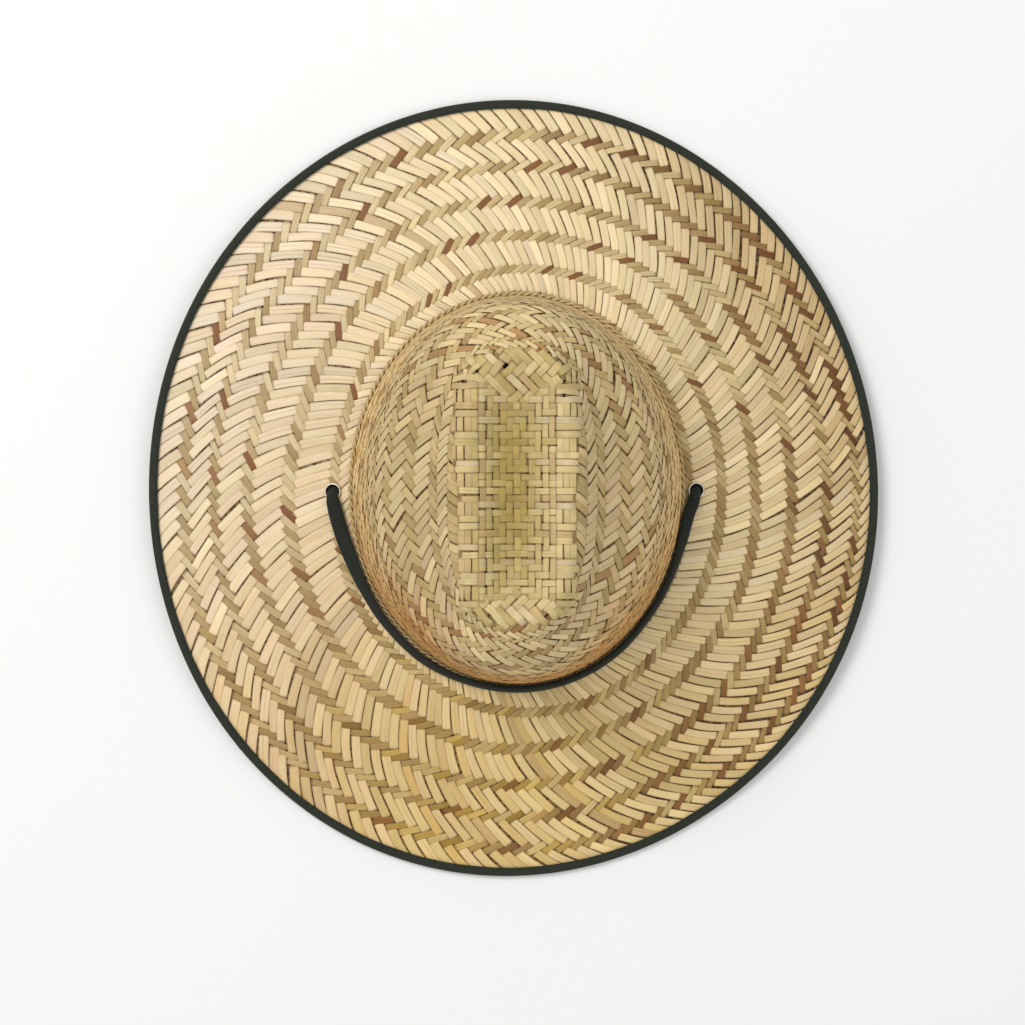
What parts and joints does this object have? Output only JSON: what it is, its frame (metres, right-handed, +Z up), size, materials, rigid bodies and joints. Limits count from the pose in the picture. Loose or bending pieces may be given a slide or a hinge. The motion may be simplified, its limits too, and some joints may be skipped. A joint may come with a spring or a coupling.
{
  "type": "straw beach hat",
  "caption": "Wide-brimmed woven straw hat with a creased crown, bound brim edge, eyelets and a chin cord.",
  "frame": {"origin": "on the surface that the hat rests on, under the middle of the brim's outline", "axes": "+Z up through the crown, +Y towards the front of the hat, +X towards its right side"},
  "size_m": [0.382, 0.4083, 0.1332],
  "materials": {
    "crown_straw": "woven palm straw, matte with a faint sheen",
    "brim_straw": "woven palm straw, matte with a faint sheen",
    "binding_tape": "dark green-black woven tape",
    "eyelet_metal": "pale nickel plate",
    "cord_braid": "dark green-black flat braid",
    "join_plastic": "black moulded plastic"
  },
  "bodies": {
    "root": {"crown": "crown_straw", "brim": "brim_straw", "edge_binding": "binding_tape", "eyelet_left": "eyelet_metal", "eyelet_right": "eyelet_metal", "chin_cord": "cord_braid", "cord_join": "join_plastic"}
  },
  "joints": []
}
